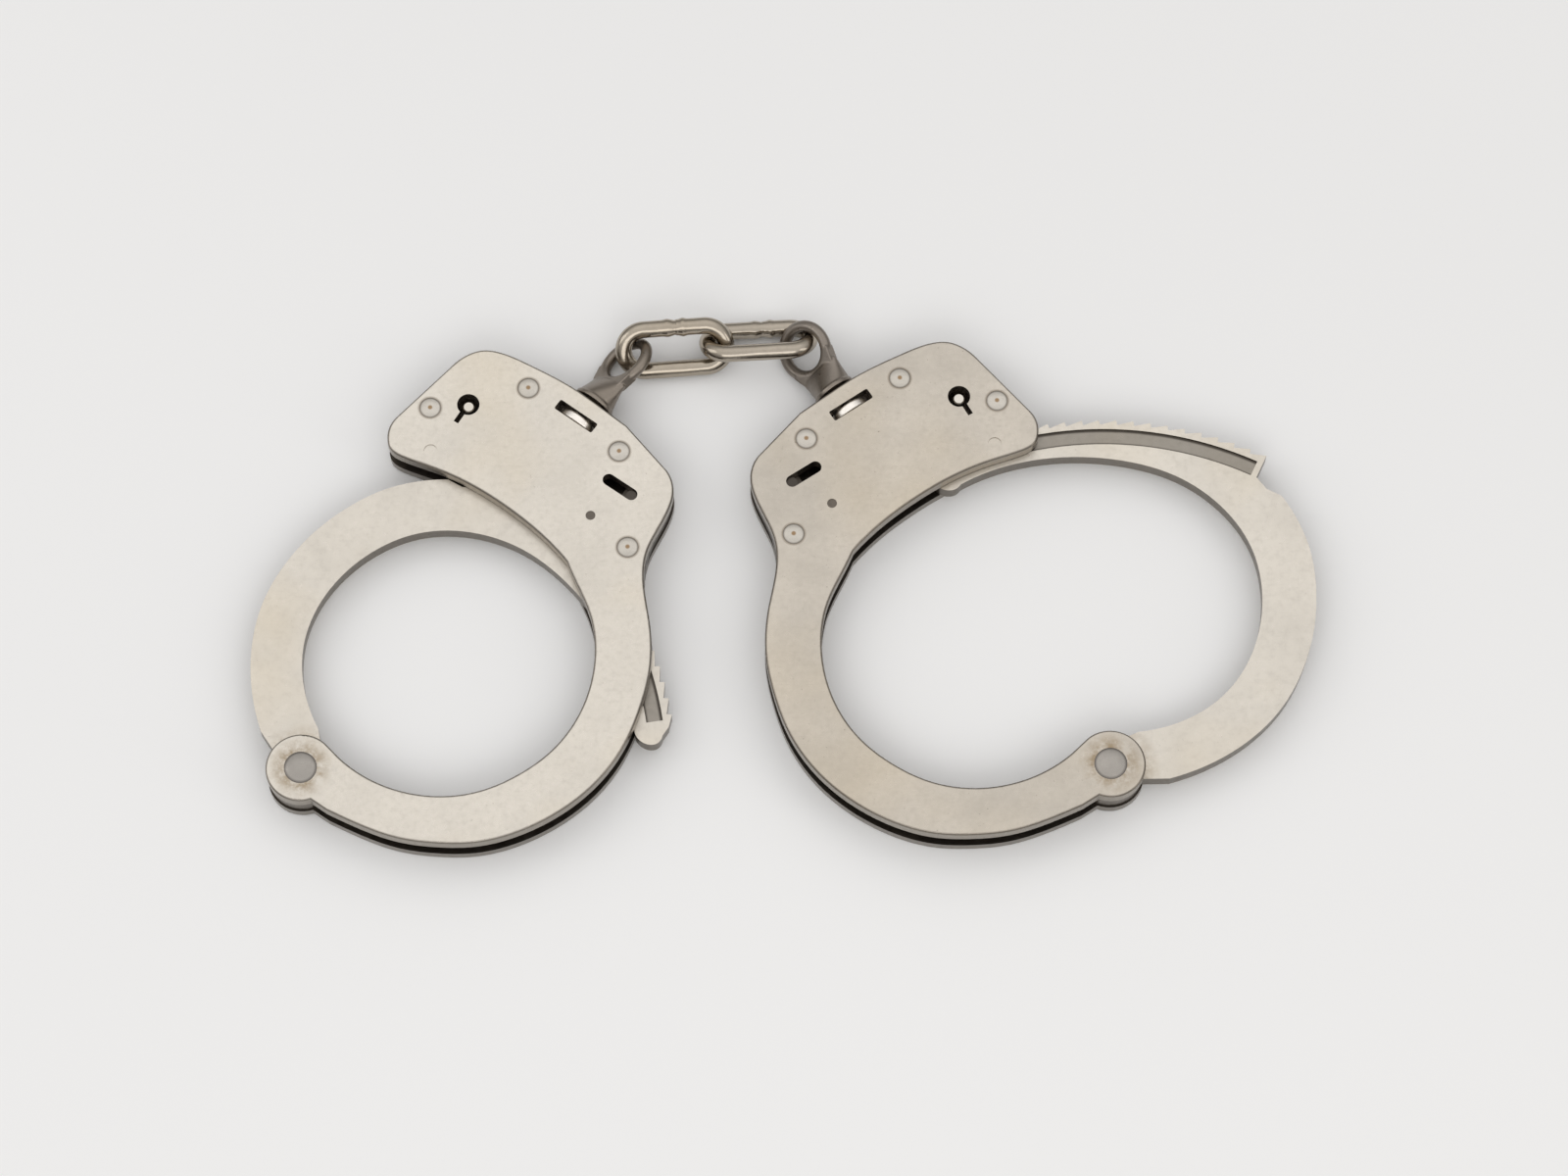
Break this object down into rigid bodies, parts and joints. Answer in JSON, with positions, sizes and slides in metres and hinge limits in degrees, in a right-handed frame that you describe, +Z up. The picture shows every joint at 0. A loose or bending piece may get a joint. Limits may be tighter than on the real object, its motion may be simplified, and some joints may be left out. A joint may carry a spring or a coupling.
{
  "type": "handcuffs",
  "caption": "Double-locking swing-through handcuffs with toothed arms, riveted cases, swivels and a short chain.",
  "frame": {"origin": "centre of the bounding box in plan, at the height of the surface that the cuffs lie on", "axes": "+X from the left cuff to the right cuff, +Y from the wrist rings to the chain, +Z up out of the keyhole side"},
  "size_m": [0.1994, 0.1072, 0.0095],
  "materials": {
    "nickel_plate": "satin nickel plate, worn",
    "edge_steel": "dull nickel",
    "nickel_arm": "satin nickel plate, worn",
    "rivet_steel": "dark domed steel",
    "rivet_nickel": "bright nickel",
    "inner_steel": "dull steel",
    "spring_steel": "blued spring steel",
    "swivel_steel": "brushed, brownish grey",
    "link_nickel": "polished nickel"
  },
  "bodies": {
    "left_frame": {"left_front_cheek": "nickel_plate", "left_rear_cheek": "nickel_plate", "left_case_spacer": "edge_steel", "left_hinge_rivet": "rivet_steel", "left_case_rivets": "rivet_nickel", "left_lock_bar_pin": "inner_steel", "left_lock_spring": "spring_steel", "left_key_post": "rivet_nickel"},
    "left_arm": {"left_arm": "nickel_arm"},
    "left_lock_bar": {"left_lock_bar": "inner_steel"},
    "left_double_lock_slide": {"left_double_lock_slide": "inner_steel"},
    "left_swivel": {"left_swivel": "swivel_steel"},
    "right_frame": {"right_front_cheek": "nickel_plate", "right_rear_cheek": "nickel_plate", "right_case_spacer": "edge_steel", "right_hinge_rivet": "rivet_steel", "right_case_rivets": "rivet_nickel", "right_lock_bar_pin": "inner_steel", "right_lock_spring": "spring_steel", "right_key_post": "rivet_nickel"},
    "right_arm": {"right_arm": "nickel_arm"},
    "right_lock_bar": {"right_lock_bar": "inner_steel"},
    "right_double_lock_slide": {"right_double_lock_slide": "inner_steel"},
    "right_swivel": {"right_swivel": "swivel_steel"},
    "link_a": {"chain_link_left": "link_nickel"},
    "link_b": {"chain_link_right": "link_nickel"}
  },
  "joints": [
    {"name": "left_arm_hinge", "type": "hinge", "parent": "left_frame", "child": "left_arm", "pos_m": [-0.08949, -0.03884, 0.0045], "axis": [0, 0, 1], "continuous": true},
    {"name": "left_lock_bar_pivot", "type": "hinge", "parent": "left_frame", "child": "left_lock_bar", "pos_m": [-0.0365, 0.01094, 0.0045], "axis": [0, 0, 1], "range_deg": [-1.5, 4.6]},
    {"name": "left_double_lock", "type": "slide", "parent": "left_frame", "child": "left_double_lock_slide", "axis": [-0.8206, 0.5715, 0], "range_m": [0, 0.0045]},
    {"name": "right_arm_hinge", "type": "hinge", "parent": "right_frame", "child": "right_arm", "pos_m": [0.06027, -0.03808, 0.0045], "axis": [0, 0, -1], "continuous": true},
    {"name": "right_lock_bar_pivot", "type": "hinge", "parent": "right_frame", "child": "right_lock_bar", "pos_m": [0.0089, 0.01338, 0.0045], "axis": [0, 0, -1], "range_deg": [-1.5, 4.6]},
    {"name": "right_double_lock", "type": "slide", "parent": "right_frame", "child": "right_double_lock_slide", "axis": [0.8385, 0.5449, 0], "range_m": [0, 0.0045]},
    {"name": "left_swivel_swing", "type": "hinge", "parent": "link_a", "child": "left_swivel", "pos_m": [-0.02752, 0.04769, 0.0045], "axis": [-0.5951, 0.4276, -0.6804], "range_deg": [-20, 20]},
    {"name": "left_swivel_spin", "type": "hinge", "parent": "left_swivel", "child": "left_frame", "pos_m": [-0.03949, 0.03103, 0.0045], "axis": [0.5835, 0.8121, 0], "continuous": true},
    {"name": "link_b_swing", "type": "hinge", "parent": "link_a", "child": "link_b", "pos_m": [-0.01119, 0.04734, 0.00434], "axis": [-0.0017, -0.7793, -0.6266], "range_deg": [-10, 6]},
    {"name": "right_swivel_swing", "type": "hinge", "parent": "link_b", "child": "right_swivel", "pos_m": [0.00125, 0.05019, 0.0045], "axis": [-0.6019, -0.4039, -0.6889], "range_deg": [-2, 20]},
    {"name": "right_swivel_spin", "type": "hinge", "parent": "right_swivel", "child": "right_frame", "pos_m": [0.01254, 0.03336, 0.0045], "axis": [-0.5571, 0.8304, 0], "continuous": true}
  ]
}
